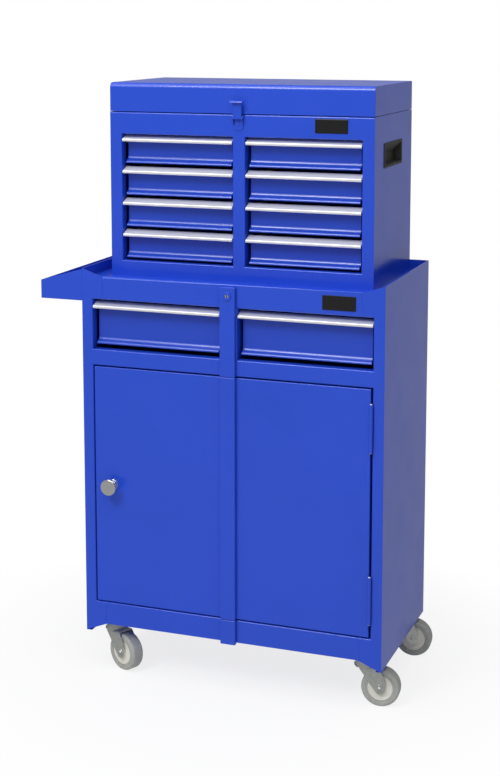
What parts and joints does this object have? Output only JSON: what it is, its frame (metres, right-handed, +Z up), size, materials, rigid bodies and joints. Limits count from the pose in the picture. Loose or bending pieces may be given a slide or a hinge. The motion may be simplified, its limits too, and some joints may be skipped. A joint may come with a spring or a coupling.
{
  "type": "tool chest and cabinet combo",
  "caption": "Sheet-steel tool chest with a hinged lid and drawers, standing in the top tray of a wheeled cabinet with drawers, a hinged door and a side tray.",
  "frame": {"origin": "middle of the whole object's box, on the floor under the wheels", "axes": "+Z up, the front faces -Y, +X to the right of someone who faces the front"},
  "size_m": [0.732, 0.3588, 1.1865],
  "materials": {
    "blue_enamel": "glossy",
    "drawer_enamel": "glossy",
    "aluminium": "satin",
    "zinc": "zinc plated",
    "chrome": "polished",
    "black_plastic": "moulded",
    "cream_plastic": "moulded",
    "grey_rubber": "matt"
  },
  "bodies": {
    "carcase": {"cabinet_drawer_deck": "blue_enamel", "cabinet_floor": "blue_enamel", "cabinet_front_frame": "blue_enamel", "cabinet_runners": "zinc", "cabinet_shell": "blue_enamel", "cabinet_top_deck": "blue_enamel", "caster_plates": "zinc", "chest_front_frame": "blue_enamel", "chest_inner_panels": "blue_enamel", "chest_runners": "zinc", "chest_shell": "blue_enamel", "chest_side_grips": "black_plastic", "cover_strips": "blue_enamel", "door_catch": "black_plastic", "door_hinge_frame_leaves": "blue_enamel", "latch_base": "blue_enamel", "lid_hinge_body_leaf": "zinc", "lock_cylinder": "blue_enamel", "side_tray": "blue_enamel"},
    "lid": {"chest_lid": "blue_enamel", "lid_hinge_lid_leaf": "zinc", "latch_keeper": "blue_enamel"},
    "latch": {"latch_lever": "blue_enamel"},
    "door": {"cabinet_door": "blue_enamel", "door_strip": "blue_enamel", "door_knob": "chrome", "door_hinge_door_leaves": "blue_enamel"},
    "lock": {"lock_plug": "chrome"},
    "chest_drawer_left_1": {"chest_drawer_left_1": "drawer_enamel", "chest_handle_left_1": "aluminium"},
    "chest_drawer_left_2": {"chest_drawer_left_2": "drawer_enamel", "chest_handle_left_2": "aluminium"},
    "chest_drawer_left_3": {"chest_drawer_left_3": "drawer_enamel", "chest_handle_left_3": "aluminium"},
    "chest_drawer_left_4": {"chest_drawer_left_4": "drawer_enamel", "chest_handle_left_4": "aluminium"},
    "chest_drawer_right_1": {"chest_drawer_right_1": "drawer_enamel", "chest_handle_right_1": "aluminium"},
    "chest_drawer_right_2": {"chest_drawer_right_2": "drawer_enamel", "chest_handle_right_2": "aluminium"},
    "chest_drawer_right_3": {"chest_drawer_right_3": "drawer_enamel", "chest_handle_right_3": "aluminium"},
    "chest_drawer_right_4": {"chest_drawer_right_4": "drawer_enamel", "chest_handle_right_4": "aluminium"},
    "cabinet_drawer_left": {"cabinet_drawer_left": "drawer_enamel", "cabinet_handle_left": "aluminium"},
    "cabinet_drawer_right": {"cabinet_drawer_right": "drawer_enamel", "cabinet_handle_right": "aluminium"},
    "swivel_front_left": {"caster_fork_front_left": "zinc"},
    "wheel_front_left": {"caster_hub_front_left": "cream_plastic", "caster_tyre_front_left": "grey_rubber"},
    "swivel_front_right": {"caster_fork_front_right": "zinc"},
    "wheel_front_right": {"caster_hub_front_right": "cream_plastic", "caster_tyre_front_right": "grey_rubber"},
    "swivel_rear_left": {"caster_fork_rear_left": "zinc"},
    "wheel_rear_left": {"caster_hub_rear_left": "cream_plastic", "caster_tyre_rear_left": "grey_rubber"},
    "swivel_rear_right": {"caster_fork_rear_right": "zinc"},
    "wheel_rear_right": {"caster_hub_rear_right": "cream_plastic", "caster_tyre_rear_right": "grey_rubber"}
  },
  "joints": [
    {"name": "lid_hinge", "type": "hinge", "parent": "carcase", "child": "lid", "pos_m": [0.03201, 0.17675, 1.13], "axis": [-1, 0, 0], "range_deg": [0, 95]},
    {"name": "latch_pivot", "type": "hinge", "parent": "carcase", "child": "latch", "pos_m": [0.03201, -0.10335, 1.123], "axis": [1, 0, 0], "range_deg": [-4, 95]},
    {"name": "door_hinge", "type": "hinge", "parent": "carcase", "child": "door", "pos_m": [0.31601, -0.15725, 0.39], "axis": [0, 0, 1], "range_deg": [0, 110]},
    {"name": "lock_turn", "type": "hinge", "parent": "carcase", "child": "lock", "pos_m": [0.03201, -0.16135, 0.789], "axis": [0, -1, 0], "range_deg": [0, 90]},
    {"name": "chest_drawer_left_1_slide", "type": "slide", "parent": "carcase", "child": "chest_drawer_left_1", "axis": [0, -1, 0], "range_m": [0, 0.19]},
    {"name": "chest_drawer_left_2_slide", "type": "slide", "parent": "carcase", "child": "chest_drawer_left_2", "axis": [0, -1, 0], "range_m": [0, 0.19]},
    {"name": "chest_drawer_left_3_slide", "type": "slide", "parent": "carcase", "child": "chest_drawer_left_3", "axis": [0, -1, 0], "range_m": [0, 0.19]},
    {"name": "chest_drawer_left_4_slide", "type": "slide", "parent": "carcase", "child": "chest_drawer_left_4", "axis": [0, -1, 0], "range_m": [0, 0.19]},
    {"name": "chest_drawer_right_1_slide", "type": "slide", "parent": "carcase", "child": "chest_drawer_right_1", "axis": [0, -1, 0], "range_m": [0, 0.19]},
    {"name": "chest_drawer_right_2_slide", "type": "slide", "parent": "carcase", "child": "chest_drawer_right_2", "axis": [0, -1, 0], "range_m": [0, 0.19]},
    {"name": "chest_drawer_right_3_slide", "type": "slide", "parent": "carcase", "child": "chest_drawer_right_3", "axis": [0, -1, 0], "range_m": [0, 0.19]},
    {"name": "chest_drawer_right_4_slide", "type": "slide", "parent": "carcase", "child": "chest_drawer_right_4", "axis": [0, -1, 0], "range_m": [0, 0.19]},
    {"name": "cabinet_drawer_left_slide", "type": "slide", "parent": "carcase", "child": "cabinet_drawer_left", "axis": [0, -1, 0], "range_m": [0, 0.23]},
    {"name": "cabinet_drawer_right_slide", "type": "slide", "parent": "carcase", "child": "cabinet_drawer_right", "axis": [0, -1, 0], "range_m": [0, 0.23]},
    {"name": "swivel_front_left", "type": "hinge", "parent": "carcase", "child": "swivel_front_left", "pos_m": [-0.23199, -0.10935, 0.0897], "axis": [0, 0, 1], "continuous": true},
    {"name": "spin_front_left", "type": "hinge", "parent": "swivel_front_left", "child": "wheel_front_left", "pos_m": [-0.20275, -0.12237, 0.0375], "axis": [0.4067, 0.9135, 0], "continuous": true},
    {"name": "swivel_front_right", "type": "hinge", "parent": "carcase", "child": "swivel_front_right", "pos_m": [0.29601, -0.10935, 0.0897], "axis": [0, 0, 1], "continuous": true},
    {"name": "spin_front_right", "type": "hinge", "parent": "swivel_front_right", "child": "wheel_front_right", "pos_m": [0.32789, -0.10656, 0.0375], "axis": [-0.0872, 0.9962, 0], "continuous": true},
    {"name": "swivel_rear_left", "type": "hinge", "parent": "carcase", "child": "swivel_rear_left", "pos_m": [-0.23199, 0.14565, 0.0897], "axis": [0, 0, 1], "continuous": true},
    {"name": "spin_rear_left", "type": "hinge", "parent": "swivel_rear_left", "child": "wheel_rear_left", "pos_m": [-0.19999, 0.14565, 0.0375], "axis": [0, 1, 0], "continuous": true},
    {"name": "swivel_rear_right", "type": "hinge", "parent": "carcase", "child": "swivel_rear_right", "pos_m": [0.29601, 0.14565, 0.0897], "axis": [0, 0, 1], "continuous": true},
    {"name": "spin_rear_right", "type": "hinge", "parent": "swivel_rear_right", "child": "wheel_rear_right", "pos_m": [0.32789, 0.14844, 0.0375], "axis": [-0.0872, 0.9962, 0], "continuous": true}
  ]
}
